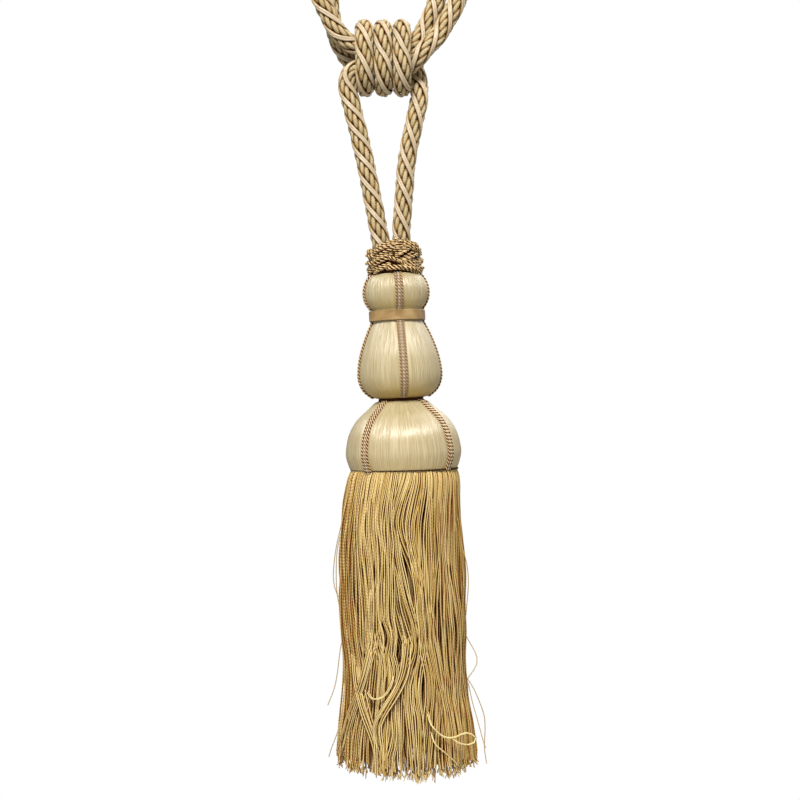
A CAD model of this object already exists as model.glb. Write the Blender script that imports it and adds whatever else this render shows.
import math
import random

import bpy
from mathutils import Matrix, Vector, noise


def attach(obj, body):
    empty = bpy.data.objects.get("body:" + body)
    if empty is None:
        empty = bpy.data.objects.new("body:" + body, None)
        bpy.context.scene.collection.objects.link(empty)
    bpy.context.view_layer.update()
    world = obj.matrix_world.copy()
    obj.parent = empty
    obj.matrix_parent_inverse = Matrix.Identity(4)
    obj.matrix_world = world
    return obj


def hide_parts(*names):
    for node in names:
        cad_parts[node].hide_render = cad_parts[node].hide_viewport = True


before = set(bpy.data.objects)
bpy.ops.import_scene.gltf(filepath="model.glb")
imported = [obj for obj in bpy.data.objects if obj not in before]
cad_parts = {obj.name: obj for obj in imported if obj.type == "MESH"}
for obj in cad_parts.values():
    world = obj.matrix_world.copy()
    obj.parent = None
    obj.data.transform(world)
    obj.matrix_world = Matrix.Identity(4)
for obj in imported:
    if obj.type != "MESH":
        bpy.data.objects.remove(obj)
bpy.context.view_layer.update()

# Rope: one laid rope makes both legs, the knot and both hook loops. Three khaki cotton strands are
# twisted to the left, each of three yarns twisted hard the other way, with a pair of bright satin yarns
# laid in each groove between them. Both ends are sewn into the ruff.
ROPE_LAY = -0.0417
CURVE_SHARES = 24
KNOT_HEIGHT = -0.4795
PASS_OFFSET = 0.0049
COIL_RADIUS = 0.0099
COIL_POINTS = 12
LAST_COIL_POINTS = 9
COIL_PITCH = 0.0094

# The rope's route, from its end in the ruff up the left leg and through the lower pass of the knot,
# then round the right loop and back through the upper pass. Columns are x, y, z.
LEFT_LEG_AND_RIGHT_LOOP = (
    (-0.0043, 0.0, -0.5868), (-0.0054, 0.0, -0.5737), (-0.0078, 0.0003, -0.56),
    (-0.0109, 0.0006, -0.544), (-0.0138, 0.001, -0.5296), (-0.0172, 0.001, -0.515),
    (-0.0205, 0.001, -0.502), (-0.0225, 0.001, -0.4935), (-0.0217, 0.0007, -0.4881),
    (-0.0183, 0.0003, -0.4852), (-0.012, 0.0, -0.4844), (-0.0048, 0.0, -0.4844),
    (0.004, 0.0, -0.4844), (0.0088, -0.0016, -0.4834), (0.0125, -0.0042, -0.4806),
    (0.0157, -0.0047, -0.4768), (0.0192, -0.0042, -0.4732), (0.0226, -0.0035, -0.4693),
    (0.0258, -0.0028, -0.4642), (0.0292, -0.0023, -0.4583), (0.0336, -0.0016, -0.449),
    (0.0385, -0.0005, -0.433), (0.042, 0.001, -0.412), (0.0432, 0.0025, -0.385),
    (0.0415, 0.0038, -0.35), (0.0365, 0.0048, -0.3), (0.0305, 0.0052, -0.24),
    (0.0245, 0.0052, -0.175), (0.0195, 0.0052, -0.11), (0.0162, 0.0052, -0.05),
    (0.015, 0.0052, -0.012), (0.0108, 0.0052, -0.0005), (0.0, 0.0052, 0.0048),
    (-0.0108, 0.0052, -0.0005), (-0.015, 0.0052, -0.012), (-0.0148, 0.0052, -0.045),
    (-0.011, 0.0052, -0.1), (-0.003, 0.0052, -0.165), (0.008, 0.0052, -0.235),
    (0.0185, 0.0052, -0.305), (0.026, 0.005, -0.365), (0.0283, 0.0045, -0.405),
    (0.0262, 0.0036, -0.435), (0.0223, 0.0028, -0.4504), (0.0197, 0.003, -0.4575),
    (0.017, 0.0033, -0.4628), (0.0144, 0.0027, -0.4676), (0.0113, 0.0012, -0.4718),
    (0.0078, 0.0003, -0.4741),
)

# On from the upper pass, round the left loop and down to the foot of the first coil.
LEFT_LOOP = (
    (0.003, 0.0, -0.4746), (-0.006, 0.0, -0.4747), (-0.014, -0.0003, -0.4744),
    (-0.019, -0.001, -0.473), (-0.0232, -0.0018, -0.4706), (-0.0268, -0.0026, -0.4672),
    (-0.0298, -0.0034, -0.4624), (-0.0328, -0.004, -0.4565), (-0.0357, -0.0045, -0.4504),
    (-0.0398, -0.0049, -0.435), (-0.0427, -0.0052, -0.415), (-0.0442, -0.0052, -0.385),
    (-0.0425, -0.0052, -0.35), (-0.0372, -0.0052, -0.3), (-0.031, -0.0052, -0.24),
    (-0.0248, -0.0052, -0.175), (-0.0196, -0.0052, -0.11), (-0.0162, -0.0052, -0.05),
    (-0.015, -0.0052, -0.012), (-0.0108, -0.0052, -0.0005), (0.0, -0.0052, 0.0048),
    (0.0108, -0.0052, -0.0005), (0.015, -0.0052, -0.012), (0.0148, -0.0052, -0.045),
    (0.011, -0.0052, -0.1), (0.003, -0.0052, -0.165), (-0.008, -0.0052, -0.235),
    (-0.0185, -0.005, -0.305), (-0.0262, -0.004, -0.36), (-0.0305, -0.001, -0.4),
    (-0.032, 0.0028, -0.428), (-0.0314, 0.0056, -0.4504), (-0.0298, 0.0074, -0.46),
    (-0.0272, 0.009, -0.469), (-0.023, 0.0102, -0.4765), (-0.0192, 0.0104, -0.4815),
    (-0.0167, 0.0096, -0.4862), (-0.015, 0.0076, -0.4905), (-0.0139, 0.0042, -0.4932),
)

# Coils of the knot: where each is at its foot and at its top. Columns are foot x, top x.
COILS = (
    (-0.0132, -0.014),
    (-0.004, -0.0046),
    (0.0052, 0.0048),
)

# Out of the last coil's back and down to the rope's other end in the ruff.
RIGHT_LEG = (
    (0.0108, 0.01, -0.4805), (0.0124, 0.0092, -0.4855), (0.0136, 0.007, -0.491),
    (0.0138, 0.004, -0.497), (0.0127, 0.0018, -0.5045), (0.01, 0.0006, -0.517),
    (0.0074, 0.0002, -0.531), (0.006, 0.0, -0.548), (0.0048, 0.0, -0.564), (0.0047, 0.0, -0.5737),
    (0.0055, 0.0, -0.5868),
)

# Cotton strands and satin yarns of the rope: how far each lies from the rope's middle, and its size.
COTTON_STRANDS = 3
COTTON_OFFSET = 0.0025
COTTON_RADIUS = 0.0023
COTTON_YARNS = 3
POINTS_A_YARN = 4
COTTON_GROOVE = 0.32
COTTON_TWIST = 68.0
COTTON_STEP = 0.0012
SATIN_YARNS = 6
SATIN_OFFSET = 0.00396
SATIN_RADIUS = 0.00078
SATIN_FAN = math.radians(15.0)
SATIN_SIDES = 6
SATIN_STEP = 0.0014

KHAKI = (0.53, 0.4, 0.18)
KHAKI_PALE = (0.74, 0.6, 0.365)
ROPE_GOLD = (0.27, 0.125, 0.012)
ROPE_SHADE = (0.11, 0.036, 0.002)
SATIN_CREAM = (0.56, 0.425, 0.25)
SATIN_BRIGHT = (0.76, 0.63, 0.44)
SATIN_SHADE = (0.3, 0.14, 0.012)


def smooth_line(points, step):
    """Points every step along a smooth curve through the given ones."""
    knots = [Vector(p) for p in points]
    knots = [2 * knots[0] - knots[1], *knots, 2 * knots[-1] - knots[-2]]
    fine = []
    for before, start, end, after in zip(knots, knots[1:], knots[2:], knots[3:]):
        for k in range(CURVE_SHARES):
            t = k / CURVE_SHARES
            fine.append(
                0.5 * (2 * start + (end - before) * t
                       + (2 * before - 5 * start + 4 * end - after) * t ** 2
                       + (3 * start - before - 3 * end + after) * t ** 3)
            )
    fine.append(knots[-2])
    lengths = [0.0]
    for a, b in zip(fine, fine[1:]):
        lengths.append(lengths[-1] + (b - a).length)
    count = max(2, round(lengths[-1] / step))
    line = []
    at = 0
    for k in range(count + 1):
        wanted = lengths[-1] * k / count
        while at < len(fine) - 2 and lengths[at + 1] < wanted:
            at += 1
        share = (wanted - lengths[at]) / (lengths[at + 1] - lengths[at])
        line.append(fine[at].lerp(fine[at + 1], min(1.0, share)))
    return line


def coil_section(run, straight, bend):
    """Depth and height on a coil, measured along it from its foot up the front."""
    quarter = bend / 2
    if run < quarter:
        angle = run / COIL_RADIUS
        return -COIL_RADIUS * math.sin(angle), -PASS_OFFSET - COIL_RADIUS * math.cos(angle)
    run -= quarter
    if run < straight:
        return -COIL_RADIUS, run - PASS_OFFSET
    run -= straight
    if run < bend:
        angle = run / COIL_RADIUS
        return -COIL_RADIUS * math.cos(angle), PASS_OFFSET + COIL_RADIUS * math.sin(angle)
    run -= bend
    if run < straight:
        return COIL_RADIUS, PASS_OFFSET - run
    run -= straight
    angle = run / COIL_RADIUS
    return COIL_RADIUS * math.cos(angle), -PASS_OFFSET - COIL_RADIUS * math.sin(angle)


def coil_line():
    """The three coils: up the front, over the two passes, and down the back to the next foot."""
    straight = 2 * PASS_OFFSET
    bend = math.pi * COIL_RADIUS
    around = 2 * (straight + bend)
    points = []
    for number, (foot, top) in enumerate(COILS):
        last = number == len(COILS) - 1
        next_foot = top + COIL_PITCH if last else COILS[number + 1][0]
        for k in range(LAST_COIL_POINTS if last else COIL_POINTS):
            run = around * k / COIL_POINTS
            y, z = coil_section(run, straight, bend)
            share = 2 * (run / around)
            if share < 1:
                x = foot + (top - foot) * share
            else:
                x = top + (next_foot - top) * (share - 1) ** 2 * (3 - 2 * (share - 1))
            points.append((x, y, KNOT_HEIGHT + z))
    return points


def new_tree(name, sockets):
    """A Geometry Nodes tree, its named inputs, and the socket that takes its result."""
    tree = bpy.data.node_groups.new(name, "GeometryNodeTree")
    tree.interface.new_socket("Path", in_out="INPUT", socket_type="NodeSocketGeometry")
    tree.interface.new_socket("Material", in_out="INPUT", socket_type="NodeSocketMaterial")
    for kind, labels in sockets.items():
        for label in labels:
            tree.interface.new_socket(label, in_out="INPUT", socket_type=f"NodeSocket{kind}")
    tree.interface.new_socket("Mesh", in_out="OUTPUT", socket_type="NodeSocketGeometry")
    given = tree.nodes.new("NodeGroupInput").outputs
    return tree, given, tree.nodes.new("NodeGroupOutput").inputs["Mesh"]


def feed(tree, socket, value):
    """Links an input to another node's output, or sets its own value."""
    if isinstance(value, bpy.types.NodeSocket):
        tree.links.new(value, socket)
    else:
        socket.default_value = value


def put(tree, kind, inputs=None, output=0, **settings):
    """Adds a node with its settings and inputs, and gives one of its outputs."""
    node = tree.nodes.new(kind)
    for key, value in settings.items():
        setattr(node, key, value)
    for key, value in (inputs or {}).items():
        feed(tree, node.inputs[key], value)
    return node.outputs[output]


def calc(tree, operation, *values):
    return put(tree, "ShaderNodeMath", dict(enumerate(values)), operation=operation)


def combine(tree, operation, *values):
    """Vector Math, whose distance and dot results are numbers and whose scale is its fourth input."""
    inputs = dict(enumerate(values))
    if operation == "SCALE":
        inputs = {0: values[0], "Scale": values[1]}
    output = 1 if operation in ("DISTANCE", "DOT_PRODUCT") else 0
    return put(tree, "ShaderNodeVectorMath", inputs, output, operation=operation)


def keep_value(tree, geometry, name, kind, value):
    """Stores a value at every point, for the tree or the material to read by its name."""
    inputs = {"Geometry": geometry, "Name": name, "Value": value}
    return put(tree, "GeometryNodeStoreNamedAttribute", inputs, data_type=kind, domain="POINT")


def split_path(tree, given, amount):
    """Copies of each path with even points, and each copy's number, its points' places and their run."""
    path = put(tree, "GeometryNodeMeshToCurve", {"Mesh": given["Path"]})
    path = put(tree, "GeometryNodeResampleCurve", {"Curve": path, "Length": given["Step"]}, mode="LENGTH")
    copies = {"Geometry": path, "Amount": amount}
    path = put(tree, "GeometryNodeDuplicateElements", copies, domain="SPLINE")
    copy_number = tree.nodes[-1].outputs["Duplicate Index"]
    place = put(tree, "GeometryNodeInputPosition")
    return path, copy_number, place, put(tree, "GeometryNodeSplineParameter", output="Length")


def round_section(tree, given, place):
    """A round section, whose points keep the direction that they lie in."""
    inputs = {"Resolution": given["Sides"], "Radius": given["Radius"]}
    ring = put(tree, "GeometryNodeCurvePrimitiveCircle", inputs)
    return keep_value(tree, ring, "turn", "FLOAT_VECTOR", combine(tree, "NORMALIZE", place))


def finish_tree(tree, given, result, mesh, helper):
    """Drops a value that only the tree needed, and ends it in a plain smooth mesh with its material."""
    mesh = put(tree, "GeometryNodeRemoveAttribute", {"Geometry": mesh, "Name": helper})
    mesh = put(tree, "GeometryNodeSetShadeSmooth", {"Geometry": mesh})
    mesh = put(tree, "GeometryNodeRealizeInstances", {"Geometry": mesh})
    inputs = {"Geometry": mesh, "Material": given["Material"]}
    feed(tree, result, put(tree, "GeometryNodeSetMaterial", inputs))


def laid_cord_tree():
    """Strands laid round each path, like a rope's. One may have yarns, as grooves that turn along it."""
    tree, given, result = new_tree("laid_cord", {
        "Int": ("Strands", "Together", "Sides", "Points a Yarn"),
        "Float": ("Fan", "Lay", "Phase", "Offset", "Radius", "Groove", "Own Twist", "Step"),
    })
    full_turn = 2 * math.pi
    path, copy_number, place, run = split_path(tree, given, given["Strands"])
    path = keep_value(tree, path, "middle", "FLOAT_VECTOR", place)
    bunch = calc(tree, "FLOOR", calc(tree, "DIVIDE", copy_number, given["Together"]))
    bunches = calc(tree, "DIVIDE", given["Strands"], given["Together"])
    in_bunch = calc(tree, "MODULO", copy_number, given["Together"])
    in_bunch = calc(tree, "SUBTRACT", in_bunch, calc(tree, "MULTIPLY_ADD", given["Together"], 0.5, -0.5))
    angle = calc(tree, "MULTIPLY_ADD", calc(tree, "DIVIDE", bunch, bunches), full_turn, given["Phase"])
    angle = calc(tree, "MULTIPLY_ADD", in_bunch, given["Fan"], angle)
    angle = calc(tree, "MULTIPLY_ADD", calc(tree, "DIVIDE", run, given["Lay"]), full_turn, angle)
    normal = put(tree, "GeometryNodeInputNormal")
    side = combine(tree, "CROSS_PRODUCT", put(tree, "GeometryNodeInputTangent"), normal)
    shift = combine(
        tree, "ADD",
        combine(tree, "SCALE", normal, calc(tree, "COSINE", angle)),
        combine(tree, "SCALE", side, calc(tree, "SINE", angle)),
    )
    shift = combine(tree, "SCALE", shift, given["Offset"])
    path = put(tree, "GeometryNodeSetPosition", {"Geometry": path, "Offset": shift})
    path = keep_value(tree, path, "along", "FLOAT", run)
    own_turn = calc(tree, "MULTIPLY", calc(tree, "MULTIPLY", run, given["Own Twist"]), full_turn)
    path = put(tree, "GeometryNodeSetCurveTilt", {"Curve": path, "Tilt": own_turn})
    ring = round_section(tree, given, place)
    corner = calc(tree, "MODULO", put(tree, "GeometryNodeInputIndex"), given["Points a Yarn"])
    ridge = calc(tree, "DIVIDE", corner, given["Points a Yarn"])
    ridge = calc(tree, "SINE", calc(tree, "MULTIPLY", ridge, math.pi))
    ring = keep_value(tree, ring, "ridge", "FLOAT", ridge)
    dip = calc(tree, "MULTIPLY", given["Groove"], calc(tree, "SUBTRACT", 1.0, ridge))
    corner = combine(tree, "SCALE", place, calc(tree, "SUBTRACT", 1.0, dip))
    ring = put(tree, "GeometryNodeSetPosition", {"Geometry": ring, "Position": corner})
    mesh = put(tree, "GeometryNodeCurveToMesh", {"Curve": path, "Profile Curve": ring, "Fill Caps": True})
    middle = put(tree, "GeometryNodeInputNamedAttribute", {"Name": "middle"}, data_type="FLOAT_VECTOR")
    reach = calc(tree, "ADD", given["Offset"], given["Radius"])
    depth = calc(tree, "DIVIDE", combine(tree, "DISTANCE", place, middle), reach)
    mesh = keep_value(tree, mesh, "depth", "FLOAT", depth)
    finish_tree(tree, given, result, mesh, "middle")
    return tree


def add_object(name, data):
    """A new object in the scene."""
    item = bpy.data.objects.new(name, data)
    bpy.context.scene.collection.objects.link(item)
    return item


def paths_object(name, lines):
    """A mesh of edges alone, one chain for each line of points."""
    points = [tuple(p) for line in lines for p in line]
    edges = []
    start = 0
    for line in lines:
        edges += [(start + k, start + k + 1) for k in range(len(line) - 1)]
        start += len(line)
    mesh = bpy.data.meshes.new(name)
    mesh.from_pydata(points, edges, [])
    return add_object(name, mesh)


def grow(item, tree, sizes):
    """Runs a tree on an object with its named sizes, and keeps the plain mesh that it makes."""
    modifier = item.modifiers.new("grow", "NODES")
    modifier.node_group = tree
    for socket in tree.interface.items_tree:
        if socket.name in sizes:
            modifier[socket.identifier] = sizes[socket.name]
    graph = bpy.context.evaluated_depsgraph_get()
    mesh = bpy.data.meshes.new_from_object(item.evaluated_get(graph))
    item.modifiers.clear()
    item.data = mesh
    return item


def new_material(name, roughness, sheen, tint, specular=0.5):
    """A material, its tree and its shader's inputs, with the values that are the same all over it."""
    material = bpy.data.materials.new(name)
    material.use_nodes = True
    shader = material.node_tree.nodes["Principled BSDF"]
    shader.inputs["Roughness"].default_value = roughness
    shader.inputs["Specular IOR Level"].default_value = specular
    shader.inputs["Sheen Weight"].default_value = sheen
    shader.inputs["Sheen Roughness"].default_value = 0.4
    shader.inputs["Sheen Tint"].default_value = (*tint, 1.0)
    return material, material.node_tree, shader.inputs


def stored(tree, name, output="Fac"):
    """Reads a value that is stored at every point of the piece."""
    return put(tree, "ShaderNodeAttribute", output=output, attribute_name=name)


def between(tree, value, low, high):
    """How far a value is from low to high, from 0 to 1, with soft ends."""
    inputs = {"Value": value, "From Min": low, "From Max": high}
    return put(tree, "ShaderNodeMapRange", inputs, interpolation_type="SMOOTHSTEP")


def blend(tree, share, first, second):
    """A colour between two others."""
    inputs = {0: share}
    for key, colour in ((6, first), (7, second)):
        inputs[key] = colour if isinstance(colour, bpy.types.NodeSocket) else (*colour, 1.0)
    return put(tree, "ShaderNodeMix", inputs, output=2, data_type="RGBA")


def raise_by(tree, shader, height, distance):
    """Bump from a height of 0 to 1."""
    inputs = {"Height": height, "Distance": distance, "Strength": 1.0}
    feed(tree, shader["Normal"], put(tree, "ShaderNodeBump", inputs))


def spun_thread_group():
    """Fibres that run along a thread or a wound form, and the ridges of its plies where it is twisted."""
    tree = bpy.data.node_groups.new("spun_thread", "ShaderNodeTree")
    for label in ("Fibres", "Stretch", "Plies", "Pitch"):
        tree.interface.new_socket(label, in_out="INPUT", socket_type="NodeSocketFloat")
    for label in ("Fibre", "Ply"):
        tree.interface.new_socket(label, in_out="OUTPUT", socket_type="NodeSocketFloat")
    given = tree.nodes.new("NodeGroupInput").outputs
    result = tree.nodes.new("NodeGroupOutput").inputs
    put(tree, "ShaderNodeSeparateXYZ", {0: stored(tree, "turn", "Vector")})
    x, y, _ = tree.nodes[-1].outputs
    along = stored(tree, "along")
    twisted = calc(tree, "MULTIPLY", calc(tree, "DIVIDE", along, given["Pitch"]), 2 * math.pi)
    around = calc(tree, "ADD", calc(tree, "ARCTAN2", y, x), twisted)
    ply = calc(tree, "COSINE", calc(tree, "MULTIPLY", around, given["Plies"]))
    feed(tree, result["Ply"], calc(tree, "MULTIPLY_ADD", ply, 0.5, 0.5))
    where = put(tree, "ShaderNodeCombineXYZ", {
        "X": calc(tree, "MULTIPLY", calc(tree, "COSINE", around), given["Fibres"]),
        "Y": calc(tree, "MULTIPLY", calc(tree, "SINE", around), given["Fibres"]),
        "Z": calc(tree, "MULTIPLY", along, given["Stretch"]),
    })
    inputs = {"Vector": where, "Scale": 1.0, "Detail": 2.0, "Roughness": 0.6}
    feed(tree, result["Fibre"], between(tree, put(tree, "ShaderNodeTexNoise", inputs), 0.3, 0.7))
    return tree


def spun(tree, fibres, stretch, plies=1.0, pitch=1000.0):
    """Places the thread effect in a material: its fibres and its plies."""
    node = tree.nodes.new("ShaderNodeGroup")
    node.node_tree = spun_thread
    for key, value in (("Fibres", fibres), ("Stretch", stretch), ("Plies", plies), ("Pitch", pitch)):
        node.inputs[key].default_value = value
    return node.outputs["Fibre"], node.outputs["Ply"]


def patchy(tree, size):
    """Soft uneven patches over the piece."""
    place = put(tree, "ShaderNodeTexCoord", output="Object")
    noise_inputs = {"Vector": place, "Scale": 1.0 / size, "Detail": 2.0}
    return between(tree, put(tree, "ShaderNodeTexNoise", noise_inputs), 0.3, 0.7)


spun_thread = spun_thread_group()
laid_cord = laid_cord_tree()
rope_route = [*LEFT_LEG_AND_RIGHT_LOOP, *LEFT_LOOP, *coil_line(), *RIGHT_LEG]
rope_line = smooth_line(rope_route, SATIN_STEP)

cotton, tree, shader = new_material(
    "khaki_cotton", roughness=0.62, sheen=0.06, tint=KHAKI_PALE, specular=0.2,
)
fibre, _ = spun(tree, 9.0, 900.0)
mottle = calc(tree, "MULTIPLY_ADD", fibre, 0.6, calc(tree, "MULTIPLY", patchy(tree, 0.01), 0.4))
yarn = blend(tree, mottle, KHAKI, KHAKI_PALE)
yarn = blend(tree, between(tree, stored(tree, "ridge"), 0.0, 0.65), ROPE_GOLD, yarn)
bared = between(tree, stored(tree, "depth"), 0.66, 0.90)
feed(tree, shader["Base Color"], blend(tree, bared, ROPE_SHADE, yarn))
raise_by(tree, shader, fibre, 0.00015)

satin, tree, shader = new_material("cream_satin", roughness=0.24, sheen=0.05, tint=SATIN_BRIGHT)
fibre, _ = spun(tree, 5.0, 250.0)
bared = between(tree, stored(tree, "depth"), 0.86, 0.985)
yarn = blend(tree, fibre, SATIN_CREAM, SATIN_BRIGHT)
feed(tree, shader["Base Color"], blend(tree, bared, SATIN_SHADE, yarn))
raise_by(tree, shader, fibre, 0.00008)

rope = grow(paths_object("rope_cotton", [rope_line]), laid_cord, {
    "Strands": COTTON_STRANDS, "Together": 1, "Lay": ROPE_LAY, "Offset": COTTON_OFFSET,
    "Radius": COTTON_RADIUS, "Sides": COTTON_YARNS * POINTS_A_YARN, "Points a Yarn": POINTS_A_YARN,
    "Groove": COTTON_GROOVE, "Own Twist": COTTON_TWIST, "Step": COTTON_STEP, "Material": cotton,
})
satin_yarns = grow(paths_object("rope_satin", [rope_line]), laid_cord, {
    "Strands": SATIN_YARNS, "Together": 2, "Fan": SATIN_FAN, "Lay": ROPE_LAY,
    "Phase": math.pi / COTTON_STRANDS, "Offset": SATIN_OFFSET, "Radius": SATIN_RADIUS,
    "Sides": SATIN_SIDES, "Points a Yarn": 1, "Step": SATIN_STEP, "Material": satin,
})
for piece in (rope, satin_yarns):
    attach(piece, "root")
    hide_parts("rope")

# Wound head: a turned wooden mould, a bulb over a pear, covered upright with fine champagne floss that
# is drawn in at the waist. The covering has its threads as fine ribs, and dips under each cord.
TASSEL_TOP = Vector((0.0016, 0.0, -0.5885))
TASSEL_LEAN = math.radians(-2.7)
CORD_TURN = math.radians(6.0)
HEAD = (
    (0.0114, 0.0006), (0.013, -0.0004), (0.0143, -0.0022), (0.0156, -0.0054), (0.016, -0.009),
    (0.0153, -0.0128), (0.0137, -0.0156), (0.0126, -0.0175), (0.0126, -0.0229), (0.0134, -0.025),
    (0.0152, -0.0288), (0.0177, -0.0352), (0.0196, -0.042), (0.0205, -0.049), (0.0199, -0.0535),
    (0.0179, -0.0574), (0.0148, -0.0601), (0.0134, -0.0609), (0.0114, -0.0613),
)
FORM_STEP = 0.0011
FLOSS_THREADS = 150
FLOSS_RIB = 0.00009
FLOSS_SEED = 2
HEAD_CORD_DEGREES = (0, 90, 180, 270)
CORD_DENT = 0.0004
CORD_DENT_REACH = 0.0022

CHAMPAGNE = (0.5, 0.38, 0.165)
CHAMPAGNE_PALE = (0.72, 0.595, 0.355)
CHAMPAGNE_DEEP = (0.64, 0.43, 0.085)

to_world = Matrix.Translation(TASSEL_TOP) @ Matrix.Rotation(TASSEL_LEAN, 4, "Y")


def outward(angle):
    """Away from the tassel's axis, at an angle measured from the front towards +X."""
    return Vector((math.sin(angle), -math.cos(angle), 0.0))


def around_axis(angle, radius, height):
    """A place round the tassel's axis, in its upright position."""
    return outward(angle) * radius + Vector((0.0, 0.0, height))


def form_line(table):
    """Radius and height down a turned shape, smooth through its table."""
    return [(p.x, p.z) for p in smooth_line([(r, 0.0, z) for r, z in table], FORM_STEP)]


def wound_form(name, table, cord_degrees, material):
    """A turned shape covered with upright threads, in the tassel's place."""
    around = 2 * FLOSS_THREADS
    luck = random.Random(FLOSS_SEED)
    ribs = [FLOSS_RIB * luck.uniform(0.2, 1.0) if k % 2 else 0.0 for k in range(around)]
    rows = form_line(table)
    vertices = []
    turns = []
    alongs = []
    under = []
    for number, (radius, height) in enumerate(rows):
        above = rows[max(0, number - 1)][0]
        below = rows[min(len(rows) - 1, number + 1)][0]
        for k in range(around):
            angle = 2 * math.pi * k / around
            size = radius + ribs[k]
            for degrees in cord_degrees:
                off = math.remainder(angle - math.radians(degrees) - CORD_TURN, 2 * math.pi) * radius
                size -= CORD_DENT * math.exp(-(off / CORD_DENT_REACH) ** 2)
            vertices.append(around_axis(angle, size, height))
            turns.extend(outward(angle))
            alongs.append(number * FORM_STEP)
            under.append(max(0.0, above - below) / (2 * FORM_STEP))
    faces = []
    for row in range(len(rows) - 1):
        for k in range(around):
            n = (k + 1) % around
            upper, lower = row * around, (row + 1) * around
            faces.append((upper + k, lower + k, lower + n, upper + n))
    faces.append(tuple(reversed(range(around))))
    faces.append(tuple(range((len(rows) - 1) * around, len(rows) * around)))
    mesh = bpy.data.meshes.new(name)
    mesh.from_pydata(vertices, [], faces)
    for label, kind, field, values in (
        ("turn", "FLOAT_VECTOR", "vector", turns),
        ("along", "FLOAT", "value", alongs),
        ("under", "FLOAT", "value", under),
    ):
        mesh.attributes.new(label, kind, "POINT").data.foreach_set(field, values)
    mesh.shade_smooth()
    mesh.transform(to_world)
    mesh.materials.append(material)
    return add_object(name, mesh)


floss, tree, shader = new_material(
    "champagne_floss", roughness=0.36, sheen=0.03, tint=CHAMPAGNE_PALE, specular=0.9,
)
shader["Anisotropic"].default_value = 0.8
shader["IOR"].default_value = 1.72
shader["Specular Tint"].default_value = (1.0, 0.98, 0.92, 1.0)
fine, _ = spun(tree, 75.0, 45.0)
broad, _ = spun(tree, 22.0, 30.0)
thread = calc(tree, "MULTIPLY_ADD", fine, 0.75, calc(tree, "MULTIPLY", broad, 0.25))
silk = blend(tree, thread, CHAMPAGNE, CHAMPAGNE_PALE)
low = between(tree, stored(tree, "under"), 0.02, 0.8)
feed(tree, shader["Base Color"], blend(tree, calc(tree, "MULTIPLY", low, 0.8), silk, CHAMPAGNE_DEEP))
raise_by(tree, shader, fine, 0.00018)

head = wound_form("head_floss", HEAD, HEAD_CORD_DEGREES, floss)
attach(head, "root")
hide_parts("head")

# Neck: dark thread bound round the stem that joins the two moulds. Only a thin line of it shows
# between them.
NECK = (
    (0.009, -0.06), (0.011, -0.0608), (0.011, -0.063), (0.009, -0.0638),
)
BOUND_DARK = (0.028, 0.006, 0.001)
BOUND_PALE = (0.11, 0.034, 0.005)

bound, tree, shader = new_material(
    "bound_thread", roughness=0.7, sheen=0.0, tint=BOUND_PALE, specular=0.15,
)
fibre, _ = spun(tree, 30.0, 900.0)
feed(tree, shader["Base Color"], blend(tree, fibre, BOUND_DARK, BOUND_PALE))
raise_by(tree, shader, fibre, 0.0002)
neck = wound_form("neck_binding", NECK, (), bound)
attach(neck, "root")

# Wound dome: the lower mould, covered with the same floss, that the skirt hangs under.
DOME = (
    (0.0106, -0.0626), (0.0128, -0.0631), (0.0147, -0.0646), (0.017, -0.0667), (0.0222, -0.0712),
    (0.0257, -0.0762), (0.0277, -0.0811), (0.0288, -0.0872), (0.0287, -0.0906), (0.0273, -0.0954),
    (0.0259, -0.0982),
)
DOME_CORD_DEGREES = (-47, 47, 133, 227)

dome = wound_form("dome_floss", DOME, DOME_CORD_DEGREES, floss)
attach(dome, "root")
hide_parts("dome")

# Triple cords: a cream cord between two bronze ones, each twisted from two yarns and sewn side by
# side down the moulds. Those of the head run under the waist band.
SMALL_CORD_RADIUS = 0.00038
SMALL_CORD_OFFSET = 0.00037
SMALL_CORD_LAY = 0.0034
SMALL_CORD_STEP = 0.00055
SMALL_CORD_SIDES = 6
CORD_SPACING = 0.0014
CORD_SEAT = 0.00045
BRONZE = (1.0, 0.72, 0.32)
BRONZE_GAP = (0.11, 0.015, 0.001)
CORD_CREAM = (1.0, 0.93, 0.76)
CREAM_GAP = (0.34, 0.15, 0.03)


def down_form(table, rows, degrees, sideways, lift):
    """A line down a turned shape, at an angle from the front, moved sideways and lifted off it."""
    angle = math.radians(degrees) + CORD_TURN
    across = Vector((math.cos(angle), math.sin(angle), 0.0))
    line = []
    table = form_line(table)
    for radius, height in table[rows[0]:len(table) - rows[1]]:
        reach = math.sqrt(radius ** 2 - sideways ** 2) + lift
        line.append(to_world @ (around_axis(angle, reach, height) + across * sideways))
    return line


cord_materials = []
for name, colour, gap in (("bronze_cord", BRONZE, BRONZE_GAP), ("cream_cord", CORD_CREAM, CREAM_GAP)):
    material, tree, shader = new_material(name, roughness=0.34, sheen=0.02, tint=colour, specular=0.45)
    fibre, _ = spun(tree, 4.0, 800.0)
    bared = between(tree, stored(tree, "depth"), 0.76, 0.96)
    deep = [channel * 0.8 for channel in colour]
    feed(tree, shader["Base Color"], blend(tree, bared, gap, blend(tree, fibre, deep, colour)))
    raise_by(tree, shader, fibre, 0.00006)
    cord_materials.append(material)
bronze, cream = cord_materials
small_cord = {
    "Strands": 2, "Together": 1, "Lay": -SMALL_CORD_LAY, "Offset": SMALL_CORD_OFFSET,
    "Radius": SMALL_CORD_RADIUS, "Sides": SMALL_CORD_SIDES, "Points a Yarn": 1,
    "Step": SMALL_CORD_STEP,
}
seat = SMALL_CORD_OFFSET + SMALL_CORD_RADIUS - CORD_SEAT
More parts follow.
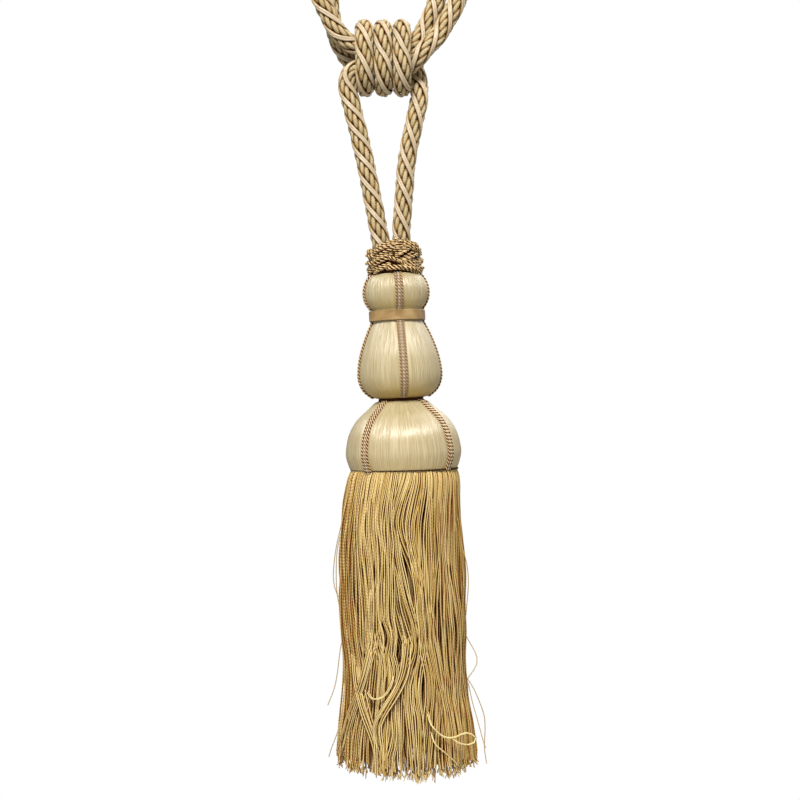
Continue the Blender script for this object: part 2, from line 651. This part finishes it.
for mould, table, rows, angles in (
    ("head", HEAD, (0, 2), HEAD_CORD_DEGREES),
    ("dome", DOME, (1, 0), DOME_CORD_DEGREES),
):
    nodes = [f"{mould}_cord_{number}" for number in range(1, 5)]
    for shade, material, slot, beside in (
        ("bronze", bronze, "bronze_cord", (-CORD_SPACING, CORD_SPACING)),
        ("cream", cream, "champagne_floss", (0.0,)),
    ):
        lines = [down_form(table, rows, a, side, seat) for a in angles for side in beside]
        piece = paths_object(f"{mould}_cords_{shade}", lines)
        grow(piece, laid_cord, small_cord | {"Material": material})
        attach(piece, "root")
        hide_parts(*nodes)

# Waist band: fine tan satin thread wound tightly round the head's waist, over the cords there.
BAND_TOP = -0.0178
BAND_BOTTOM = -0.0226
BAND_RADIUS = 0.0139
BAND_THREAD = 0.00028
BAND_TURNS = 11
BAND_POINTS = 48
BAND_SIDES = 6
BAND_STEP = 0.0015
TAN = (0.25, 0.115, 0.015)
TAN_PALE = (0.64, 0.44, 0.19)

tan, tree, shader = new_material("tan_thread", roughness=0.34, sheen=0.05, tint=TAN_PALE)
fibre, _ = spun(tree, 4.0, 120.0)
tone = calc(tree, "MULTIPLY_ADD", fibre, 0.4, calc(tree, "MULTIPLY", patchy(tree, 0.008), 0.6))
feed(tree, shader["Base Color"], blend(tree, tone, TAN, TAN_PALE))
raise_by(tree, shader, fibre, 0.00006)
winding = []
for k in range(BAND_TURNS * BAND_POINTS + 1):
    share = k / (BAND_TURNS * BAND_POINTS)
    height = BAND_TOP + (BAND_BOTTOM - BAND_TOP) * share
    angle = math.pi * (1 + 2 * k / BAND_POINTS)
    winding.append(to_world @ around_axis(angle, BAND_RADIUS, height))
band = grow(paths_object("waist_band_thread", [winding]), laid_cord, {
    "Strands": 1, "Together": 1, "Radius": BAND_THREAD, "Sides": BAND_SIDES,
    "Points a Yarn": 1, "Step": BAND_STEP, "Material": tan,
})
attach(band, "root")
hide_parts("waist_band")

# Ruff: a collar of twisted bronze cord, sewn in bunches of bights round the rope ends over a bound
# core. The front has a broad band of them to the left, two fans to the right and a small knot between.
RUFF_CORE = (
    (0.007, 0.0136), (0.0098, 0.0128), (0.0109, 0.01), (0.0109, 0.004), (0.0104, -0.0004),
)
# Front bunches: start and end as degrees from the front and height, cords, their spacing at each end.
RUFF_FRONT = (
    (14, 0.0158, -64, 0.0104, 4, 0.0011, 0.0015),
    (-2, 0.0106, -76, 0.0054, 4, 0.001, 0.0015),
    (-8, 0.005, -72, 0.0012, 3, 0.0007, 0.0015),
    (-2, 0.0122, 30, 0.0156, 3, 0.001, 0.0013),
    (24, 0.0148, 80, 0.0128, 3, 0.001, 0.0013),
    (2, 0.0088, 48, 0.0132, 3, 0.0009, 0.0012),
    (10, 0.0062, 62, 0.0098, 4, 0.0005, 0.0018),
    (12, 0.0038, 74, 0.003, 5, 0.0004, 0.0016),
    (-22, 0.0034, 26, 0.003, 2, 0.0013, 0.001),
    (-16, 0.0084, 20, 0.0048, 2, 0.0012, 0.0009),
)
RUFF_BACK_STARTS = (52, 97, 142, 187, 232)
RUFF_BACK_ROWS = (0.0026, 0.007, 0.0114)
RUFF_BACK_REACH = 66
RUFF_BACK_SHIFT = 8
RUFF_BACK_SLANT = 0.0026
RUFF_BACK_CORDS = 4
RUFF_BACK_SPACING = (0.0009, 0.0015)
RUFF_INNER = 0.0096
RUFF_BULGE = 0.0042
RUFF_CROWN = 0.0018
RUFF_FULLNESS = 0.5
RUFF_LONGER = 9.0
RUFF_POINTS = 13
RUFF_STRAY = 0.0006
RUFF_WANDER = 0.0005
RUFF_CORD_RADIUS = 0.00039
RUFF_CORD_OFFSET = 0.00039
RUFF_CORD_LAY = 0.0044
RUFF_SEED = 5

luck = random.Random(RUFF_SEED)
bunches = list(RUFF_FRONT)
for row, height in enumerate(RUFF_BACK_ROWS):
    for start in RUFF_BACK_STARTS:
        start += RUFF_BACK_SHIFT * row
        slant = luck.uniform(-RUFF_BACK_SLANT, RUFF_BACK_SLANT)
        spacing = RUFF_BACK_SPACING if luck.random() < 0.5 else RUFF_BACK_SPACING[::-1]
        end = start + RUFF_BACK_REACH
        bunches.append((start, height - slant, end, height + slant, RUFF_BACK_CORDS, *spacing))
bights = []
for start, low, end, high, cords, narrow, wide in bunches:
    for cord in range(cords):
        beside = cord - (cords - 1) / 2
        bulge = RUFF_BULGE + luck.uniform(-RUFF_STRAY, RUFF_STRAY)
        bulge -= RUFF_CROWN * (2 * beside / cords) ** 2
        longer = luck.uniform(-RUFF_LONGER, RUFF_LONGER)
        wander = luck.uniform(-RUFF_WANDER, RUFF_WANDER)
        line = []
        for k in range(RUFF_POINTS):
            t = k / (RUFF_POINTS - 1)
            place = outward(math.radians(start + (end + longer - start) * t))
            place *= RUFF_INNER + bulge * math.sin(math.pi * t) ** RUFF_FULLNESS
            place.z = low + (high - low) * t + beside * (narrow + (wide - narrow) * t)
            place.z += wander * math.sin(math.pi * t)
            line.append(to_world @ place)
        bights.append(line)
ruff = grow(paths_object("ruff_loops", bights), laid_cord, small_cord | {
    "Lay": RUFF_CORD_LAY, "Offset": RUFF_CORD_OFFSET, "Radius": RUFF_CORD_RADIUS, "Material": bronze,
})
ruff_core = wound_form("ruff_core", RUFF_CORE, (), bound)
for piece in (ruff, ruff_core):
    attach(piece, "root")
    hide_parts("ruff")

# Skirt: some hundreds of thin twisted gold-beige strings, folded over a heading under the dome. They
# hang in locks that wave, part and cross, so that darker strings show between the outer ones.
SKIRT_TOP = -0.0938
SKIRT_LEVEL = 0.035
SKIRT_BOTTOM = -0.244
# Columns are drop below the top, half width, sideways shift.
SKIRT_LINE = (
    (0.0, 0.0236, 0.0), (0.0032, 0.0257, 0.0), (0.006, 0.0271, -0.0003), (0.0107, 0.0278, -0.0008),
    (0.0187, 0.0283, -0.0018), (0.0417, 0.0294, -0.0036), (0.0617, 0.0299, -0.0042),
    (0.0827, 0.0297, -0.0044), (0.0987, 0.0291, -0.0046), (0.1157, 0.0302, -0.0049),
    (0.1307, 0.0322, -0.0048), (0.1587, 0.033, -0.0048),
)
SHORT_LEFT = 0.1
SHORT_RIGHT = 0.04
LOCK_POINTS = 40
LOCK_CROWDING = 1.35
WAVE_SEED = 3
WAVE_START = 0.03
WAVE_GROWTH = 0.5
WAVE_AROUND = 0.007
WAVE_DOWN = 0.04
WAVE_DEPTH = 0.6
LAYER_TURN = 0.1
# Layers from outside in: name, share of the width, locks, strings a lock, wave, how shaded, seed.
LAYERS = (
    ("skirt_outer", 1.0, 52, 7, 0.0036, 0.0, 3),
    ("skirt_middle", 0.90, 42, 6, 0.0034, 0.58, 8),
    ("skirt_inner", 0.72, 30, 6, 0.0034, 0.78, 21),
)
# Partings: degrees from the front, and the drops where each opens and closes.
PARTINGS = (
    (6.4, 0.038, 0.07),
    (37.0, 0.043, 0.11),
    (13.0, 0.093, 0.12),
    (-32.0, 0.08, 0.118),
    (-12.5, 0.123, 0.141),
    (-20.5, 0.075, 0.092),
    (-11.0, 0.083, 0.097),
    (-52.0, 0.03, 0.075),
    (95.0, 0.045, 0.1),
    (140.0, 0.06, 0.12),
    (185.0, 0.035, 0.085),
    (228.0, 0.07, 0.13),
    (262.0, 0.04, 0.08),
)
PARTING_WIDTH = 0.0022
PARTING_REACH = math.radians(7.0)
PARTING_FULLNESS = 0.7
# Bends: degrees from the front, reach in degrees, and how far the strings swing at each drop.
BENDS = (
    (10, 18, ((0.006, 0.0), (0.028, -0.004), (0.078, 0.0034), (0.12, 0.0012), (0.15, 0.0))),
    (-38, 16, ((0.03, 0.0), (0.06, 0.002), (0.095, 0.0016), (0.145, -0.005))),
    (-4, 9, ((0.07, 0.0), (0.088, 0.003), (0.108, -0.0034), (0.145, -0.001))),
    (34, 12, ((0.06, 0.0), (0.085, -0.0018), (0.12, 0.003), (0.145, 0.0022))),
    (120, 20, ((0.01, 0.0), (0.045, 0.0034), (0.09, -0.0024), (0.15, 0.001))),
    (205, 22, ((0.01, 0.0), (0.05, -0.0036), (0.11, 0.0026), (0.15, 0.0))),
)
STRING_RADIUS = 0.00043
STRING_SPACING = 0.00078
STRING_JITTER = 0.001
STRING_WAVE = 0.0032
STRING_WAVE_LENGTH = 0.03
STRING_SIDES = 4
STRING_STEP = 0.0029
STRING_SHORT = 0.035
STRING_UNEVEN = 0.3
JITTER_AT_TOP = 0.3
STRING_PALE = (0.985, 0.815, 0.4)
STRING_GOLD = (0.62, 0.37, 0.028)
STRING_SIDE = (0.24, 0.058, 0.001)
STRING_SHADE = (0.085, 0.011, 0.001)
STRING_PITCH = 0.0032
STRING_PLIES = 2.0


def read_table(table, drop):
    """The other columns of a table at a drop, between its rows."""
    if drop <= table[0][0]:
        return table[0][1:]
    for low, high in zip(table, table[1:]):
        if drop <= high[0]:
            share = (drop - low[0]) / (high[0] - low[0])
            return tuple(a + (b - a) * share for a, b in zip(low[1:], high[1:]))
    return table[-1][1:]


def swung(angle, drop):
    """How far a lock is moved sideways by the bends and the partings near it."""
    sideways = 0.0
    for degrees, reach, table in BENDS:
        off = math.remainder(angle - math.radians(degrees), 2 * math.pi) / math.radians(reach)
        sideways += read_table(table, drop)[0] * math.exp(-off ** 2)
    for degrees, start, end in PARTINGS:
        if start < drop < end:
            off = math.remainder(angle - math.radians(degrees), 2 * math.pi) / PARTING_REACH
            opened = math.sin(math.pi * (drop - start) / (end - start)) ** PARTING_FULLNESS
            sideways += math.copysign(PARTING_WIDTH * opened * math.exp(-abs(off)), off)
    return sideways


def string_bunch_tree():
    """Strings side by side along each lock's line, each with a slight wave and a length of its own."""
    tree, given, result = new_tree("string_bunch", {
        "Int": ("Strings", "Sides", "Seed"),
        "Float": (
            "Spacing", "Jitter", "Wave", "Wave Length", "Wave Start", "Shortest", "Inside", "Paler",
            "Radius", "Step",
        ),
    })
    path, copy_number, place, run = split_path(tree, given, given["Strings"])

    def chance(least, most, extra):
        seed = calc(tree, "ADD", given["Seed"], extra)
        inputs = {2: least, 3: most, "ID": put(tree, "GeometryNodeInputIndex"), "Seed": seed}
        value = put(tree, "FunctionNodeRandomValue", inputs, output=1, data_type="FLOAT")
        return put(tree, "GeometryNodeFieldOnDomain", {0: value}, domain="CURVE", data_type="FLOAT")

    across = put(tree, "GeometryNodeInputNamedAttribute", {"Name": "across"}, data_type="FLOAT_VECTOR")
    out = combine(tree, "CROSS_PRODUCT", put(tree, "GeometryNodeInputTangent"), across)
    beside = calc(tree, "SUBTRACT", copy_number, calc(tree, "MULTIPLY_ADD", given["Strings"], 0.5, -0.5))
    beside = calc(tree, "ADD", beside, chance(-STRING_UNEVEN, STRING_UNEVEN, 1))
    beside = calc(tree, "MULTIPLY", beside, given["Spacing"])
    loose = calc(tree, "MINIMUM", calc(tree, "DIVIDE", run, given["Wave Start"]), 1.0)
    away = calc(tree, "MULTIPLY_ADD", loose, 1.0 - JITTER_AT_TOP, JITTER_AT_TOP)
    away = calc(tree, "MULTIPLY", chance(-1.0, 1.0, 2), calc(tree, "MULTIPLY", away, given["Jitter"]))
    own = put(tree, "ShaderNodeCombineXYZ", {"X": chance(0.0, 90.0, 3), "Y": chance(0.0, 90.0, 4)})
    lengths = put(tree, "ShaderNodeCombineXYZ", dict.fromkeys("XYZ", given["Wave Length"]))
    where = combine(tree, "DIVIDE", place, lengths)
    noise_inputs = {"Vector": combine(tree, "ADD", where, own), "Scale": 1.0, "Detail": 1.0}
    wave = put(tree, "ShaderNodeTexNoise", noise_inputs, output="Color")
    wave = combine(tree, "SUBTRACT", wave, (0.5, 0.5, 0.5))
    wave = combine(tree, "SCALE", wave, calc(tree, "MULTIPLY", given["Wave"], loose))
    shift = combine(tree, "SCALE", across, beside)
    shift = combine(tree, "ADD", shift, combine(tree, "SCALE", out, away))
    shift = combine(tree, "ADD", shift, wave)
    path = put(tree, "GeometryNodeSetPosition", {"Geometry": path, "Offset": shift})
    path = keep_value(tree, path, "along", "FLOAT", calc(tree, "ADD", run, chance(0.0, 1.0, 7)))
    path = keep_value(tree, path, "tint", "FLOAT", calc(tree, "ADD", chance(0.0, 1.0, 5), given["Paler"]))
    end = calc(tree, "SUBTRACT", 1.0, calc(tree, "MULTIPLY", chance(0.0, 1.0, 6), given["Shortest"]))
    path = put(tree, "GeometryNodeTrimCurve", {"Curve": path, "End": end}, mode="FACTOR")
    ring = round_section(tree, given, place)
    mesh = put(tree, "GeometryNodeCurveToMesh", {"Curve": path, "Profile Curve": ring, "Fill Caps": True})
    side = combine(tree, "DOT_PRODUCT", put(tree, "GeometryNodeInputNormal"), across)
    mesh = keep_value(tree, mesh, "side", "FLOAT", side)
    mesh = keep_value(tree, mesh, "inside", "FLOAT", given["Inside"])
    finish_tree(tree, given, result, mesh, "across")
    return tree


def lock_line(angle, share, wave, drift):
    """One lock's line from the top down, and the direction across it, both at each point."""
    side = math.sin(angle)
    shorter = SHORT_LEFT * max(0.0, -side) + SHORT_RIGHT * max(0.0, side)
    length = SKIRT_TOP - SKIRT_BOTTOM - shorter * SKIRT_LINE[0][1]
    line = []
    across = []
    for k in range(LOCK_POINTS + 1):
        drop = length * (k / LOCK_POINTS) ** LOCK_CROWDING
        half, shift = read_table(SKIRT_LINE, drop)
        loose = min(1.0, drop / WAVE_START) * (1 + WAVE_GROWTH * drop / length)
        flat = outward(angle) * (SKIRT_LINE[0][1] / WAVE_AROUND)
        where = Vector((flat.x, flat.y, drop / WAVE_DOWN + drift))
        sway = noise.noise_vector(where) * wave * loose
        turned = angle + (sway.x + swung(angle, drop)) / half
        place = outward(turned) * (half * share + sway.y * WAVE_DEPTH)
        place.x += shift
        place.z = SKIRT_TOP - SKIRT_LEVEL * SKIRT_LINE[0][1] * side - drop
        line.append(to_world @ place)
        across.append(to_world.to_3x3() @ Vector((math.cos(turned), math.sin(turned), 0.0)))
    return line, across


def hang_strings(name, lines, directions, sizes, node):
    """Strings along each line, as one piece that stands for a node."""
    layer = paths_object(name, lines)
    kept = layer.data.attributes.new("across", "FLOAT_VECTOR", "POINT")
    kept.data.foreach_set("vector", [c for d in directions for c in d])
    grow(layer, string_bunch, hanging_string | sizes)
    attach(layer, "root")
    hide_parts(node)


strings, tree, shader = new_material(
    "skirt_string", roughness=0.42, sheen=0.0, tint=STRING_PALE, specular=0.15,
)
fibre, ply = spun(tree, 4.0, 700.0, STRING_PLIES, STRING_PITCH)
tint = calc(tree, "MULTIPLY_ADD", stored(tree, "tint"), 0.6, calc(tree, "MULTIPLY", fibre, 0.25))
lit = calc(tree, "MULTIPLY_ADD", ply, 0.3, tint)
own = blend(tree, lit, STRING_GOLD, STRING_PALE)
side = between(tree, calc(tree, "ABSOLUTE", stored(tree, "side")), 0.22, 0.76)
own = blend(tree, side, own, STRING_SIDE)
feed(tree, shader["Base Color"], blend(tree, stored(tree, "inside"), own, STRING_SHADE))
raise_by(tree, shader, calc(tree, "MULTIPLY_ADD", fibre, 0.2, ply), 0.00012)
string_bunch = string_bunch_tree()
# Without a seed of its own, the noise behind the locks' waves would take one from the clock.
noise.seed_set(WAVE_SEED)
hanging_string = {
    "Strings": 1, "Spacing": STRING_SPACING, "Jitter": STRING_JITTER, "Shortest": STRING_SHORT,
    "Wave": STRING_WAVE, "Wave Length": STRING_WAVE_LENGTH, "Wave Start": WAVE_START,
    "Radius": STRING_RADIUS, "Sides": STRING_SIDES, "Step": STRING_STEP,
    "Inside": 0.0, "Paler": 0.0, "Material": strings,
}
ends = []
for name, share, locks, each, wave, inside, seed in LAYERS:
    lines = []
    directions = []
    for number in range(locks):
        line, across = lock_line(2 * math.pi * (number + seed * LAYER_TURN) / locks, share, wave, seed)
        lines.append(line)
        directions += across
        ends.append((line[-2], line[-1], across[-1]))
    node = "skirt_core" if name == "skirt_inner" else "skirt"
    hang_strings(name, lines, directions, {"Strings": each, "Seed": seed, "Inside": inside}, node)

# Heading line: a thin dark cord sewn round the dome's lower edge, over the tops of the strings. It is
# bound in the same thread as the neck.
HEADING_DROP = 0.003
HEADING_RADIUS = 0.0268
HEADING_POINTS = 72
HEADING_CORD = 0.00022
HEADING_LAY = 0.0022

ring = []
for k in range(HEADING_POINTS + 1):
    angle = math.pi * (1 + 2 * k / HEADING_POINTS)
    height = SKIRT_TOP - HEADING_DROP - SKIRT_LEVEL * SKIRT_LINE[0][1] * outward(angle).x
    ring.append(to_world @ around_axis(angle, HEADING_RADIUS, height))
heading = grow(paths_object("heading_line", [ring]), laid_cord, small_cord | {
    "Lay": HEADING_LAY, "Offset": HEADING_CORD, "Radius": HEADING_CORD, "Material": bound,
})
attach(heading, "root")
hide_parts("skirt")

# Loose strings: a few strings and threads have worked out of the skirt. Some curl out at its sides,
# others lie across its front near the end, and each lock ends in frayed tufts.
STRAY_STEP = 0.003
# Stray threads: the y of each, then its x and z from the top down.
STRAY_THREADS = (
    (-0.004, (
        (-0.019, -0.686), (-0.0268, -0.7186), (-0.0294, -0.7348), (-0.0274, -0.7483),
        (-0.0199, -0.7565),
    )),
    (0.004, (
        (-0.0205, -0.698), (-0.027, -0.724), (-0.0282, -0.744), (-0.0262, -0.7566),
        (-0.0225, -0.764),
    )),
    (0.0, (
        (-0.0225, -0.76), (-0.0263, -0.7773), (-0.0287, -0.7936), (-0.0321, -0.8041),
    )),
    (0.0, (
        (-0.0205, -0.795), (-0.0262, -0.8122), (-0.0276, -0.8177), (-0.0314, -0.83),
    )),
    (-0.004, (
        (0.03, -0.704), (0.0348, -0.7229), (0.0379, -0.7348), (0.0383, -0.7455), (0.0364, -0.7618),
        (0.033, -0.769),
    )),
    (0.0, (
        (0.0345, -0.76), (0.0371, -0.7681), (0.0425, -0.7773), (0.0431, -0.7828), (0.0386, -0.7893),
        (0.034, -0.795),
    )),
    (0.0, (
        (0.034, -0.78), (0.036, -0.7871), (0.0414, -0.7958), (0.0458, -0.8071), (0.0466, -0.8154),
        (0.0463, -0.8262), (0.0474, -0.8332),
    )),
    (0.002, (
        (0.0345, -0.78), (0.0367, -0.7895), (0.0387, -0.794), (0.0426, -0.8104), (0.047, -0.8256),
    )),
)
LOOSE_STRINGS = (
    ((0.016, -0.024, -0.796), (0.0184, -0.0322, -0.8051), (0.0201, -0.0335, -0.8082),
     (0.0252, -0.0325, -0.8129), (0.0304, -0.033, -0.8128), (0.0352, -0.031, -0.8108),
     (0.0398, -0.029, -0.8124), (0.0408, -0.029, -0.8149), (0.0377, -0.03, -0.8168),
     (0.033, -0.032, -0.816), (0.0294, -0.033, -0.8139)),
    ((0.018, -0.024, -0.806), (0.0198, -0.0318, -0.8142), (0.0216, -0.0325, -0.8171),
     (0.0263, -0.0308, -0.8212), (0.0325, -0.027, -0.828)),
    ((-0.0125, -0.021, -0.792), (-0.0095, -0.0282, -0.7953), (-0.0061, -0.03, -0.795),
     (-0.0027, -0.031, -0.7924), (0.0006, -0.0308, -0.786), (0.001, -0.024, -0.78)),
)
LOOSE_LOCKS = (
    ((0.0078, -0.022, -0.752), (0.0078, -0.0285, -0.768), (0.0066, -0.0312, -0.78),
     (0.0036, -0.032, -0.789), (-0.001, -0.032, -0.7965), (-0.0049, -0.0316, -0.803),
     (-0.007, -0.0314, -0.8085), (-0.006, -0.0314, -0.818), (-0.0058, -0.0312, -0.831)),
    ((-0.0178, -0.013, -0.776), (-0.016, -0.0225, -0.79), (-0.0128, -0.0264, -0.802),
     (-0.009, -0.029, -0.813), (-0.007, -0.0298, -0.82), (-0.006, -0.03, -0.831)),
    ((-0.008, -0.02, -0.756), (-0.01, -0.0262, -0.772), (-0.015, -0.0245, -0.79),
     (-0.0205, -0.0195, -0.806), (-0.025, -0.011, -0.825)),
)
# Pieces: name, lines, and how they differ from a hanging string.
LOOSE_PIECES = (
    ("stray_threads", [[(x, y, z) for x, z in line] for y, line in STRAY_THREADS], {
        "Radius": 0.00022, "Seed": 31,
    }),
    ("loose_strings", LOOSE_STRINGS, {
        "Strings": 2, "Spacing": 0.0006, "Radius": 0.00038, "Paler": 0.8, "Seed": 32,
    }),
    ("loose_locks", LOOSE_LOCKS, {"Strings": 6, "Paler": 0.15, "Seed": 33}),
)
FRAYED_STRING = {
    "Strings": 3, "Spacing": 0.0004, "Jitter": 0.0005, "Wave": 0.007, "Wave Length": 0.007,
    "Wave Start": 0.004, "Shortest": 0.5, "Radius": 0.00027, "Paler": 0.3, "Step": 0.0011, "Seed": 34,
}
FRAY_TUFTS = 2
FRAY_ACROSS = 2.0
FRAY_LENGTH = (0.002, 0.0045)
FRAY_ROOT = 0.6
FRAY_FALL = 1.2
FRAY_SPREAD = 0.0016
FRAY_BENDS = (0.35, 0.7)
FRAY_BOW = 0.15
FRAY_SEED = 12

for name, drawn, sizes in LOOSE_PIECES:
    lines = [smooth_line(points, STRAY_STEP) for points in drawn]
    directions = [(1.0, 0.0, 0.0)] * sum(len(line) for line in lines)
    hang_strings(name, lines, directions, sizes | {"Jitter": 0.0, "Shortest": 0.0}, "skirt")

luck = random.Random(FRAY_SEED)
lines = []
directions = []
for before, end, across in ends:
    for _ in range(FRAY_TUFTS):
        sideways = across * luck.uniform(-FRAY_ACROSS, FRAY_ACROSS) * STRING_SPACING
        length = luck.uniform(*FRAY_LENGTH)
        drift = Vector([luck.uniform(-FRAY_SPREAD, FRAY_SPREAD) for _ in range(3)])
        start = end + sideways + (before - end).normalized() * length * FRAY_ROOT
        tip = start + Vector((0.0, 0.0, -length * FRAY_FALL)) + drift
        upper, lower = (start.lerp(tip, share) for share in FRAY_BENDS)
        lines.append([start, upper - drift * FRAY_BOW, lower, tip])
        directions += [across] * len(lines[-1])
hang_strings("frayed_ends", lines, directions, FRAYED_STRING, "skirt")

# Studio: a pale floor well under the tassel and a white surround, soft light from above the front with
# a weaker one from behind, and the camera level with the middle of the photograph.
VIEW_MIDDLE = (0.004, -0.6508)
CAMERA_DISTANCE = 0.78
VIEW_WIDTH = 0.401
SENSOR = 36.0
AMBIENT = 0.38
LIT_MIDDLE = (0.0, 0.0, -0.65)
# Lights: name, place, size, power.
STUDIO_LIGHTS = (
    ("key", (-0.12, -0.86, 0.18), 0.35, 17.0),
    ("fill", (0.60, 0.90, 0.10), 1.0, 8.0),
)
FLOOR_HEIGHT = -0.95
FLOOR_RADIUS = 0.3
FLOOR_SIDES = 96
FLOOR_PALE = (0.86, 0.86, 0.85)

camera_data = bpy.data.cameras.new("camera")
camera_data.sensor_width = SENSOR
camera_data.lens = SENSOR * CAMERA_DISTANCE / VIEW_WIDTH
camera = add_object("camera", camera_data)
camera.location = (VIEW_MIDDLE[0], -CAMERA_DISTANCE, VIEW_MIDDLE[1])
camera.rotation_euler = (math.radians(90.0), 0.0, 0.0)
bpy.context.scene.camera = camera

world = bpy.data.worlds.new("studio")
bpy.context.scene.world = world
world.use_nodes = True
sky = world.node_tree.nodes["Background"].inputs
sky["Color"].default_value = (1.0, 1.0, 1.0, 1.0)
tree = world.node_tree
seen = put(tree, "ShaderNodeLightPath", output="Is Camera Ray")
feed(tree, sky["Strength"], calc(tree, "MULTIPLY_ADD", seen, 1.0 - AMBIENT, AMBIENT))
bpy.context.scene.view_settings.view_transform = "Standard"

for name, place, size, energy in STUDIO_LIGHTS:
    light_data = bpy.data.lights.new(name, "AREA")
    light_data.size = size
    light_data.energy = energy
    light = add_object(name, light_data)
    light.location = place
    light.rotation_euler = (Vector(LIT_MIDDLE) - light.location).to_track_quat("-Z", "Y").to_euler()

bpy.ops.mesh.primitive_circle_add(
    vertices=FLOOR_SIDES, radius=FLOOR_RADIUS, fill_type="NGON", location=(0.0, 0.0, FLOOR_HEIGHT),
)
floor = bpy.context.active_object
floor.name = "studio_floor"
pale, tree, shader = new_material("pale_floor", roughness=0.9, sheen=0.0, tint=FLOOR_PALE)
shader["Base Color"].default_value = (*FLOOR_PALE, 1.0)
floor.data.materials.append(pale)
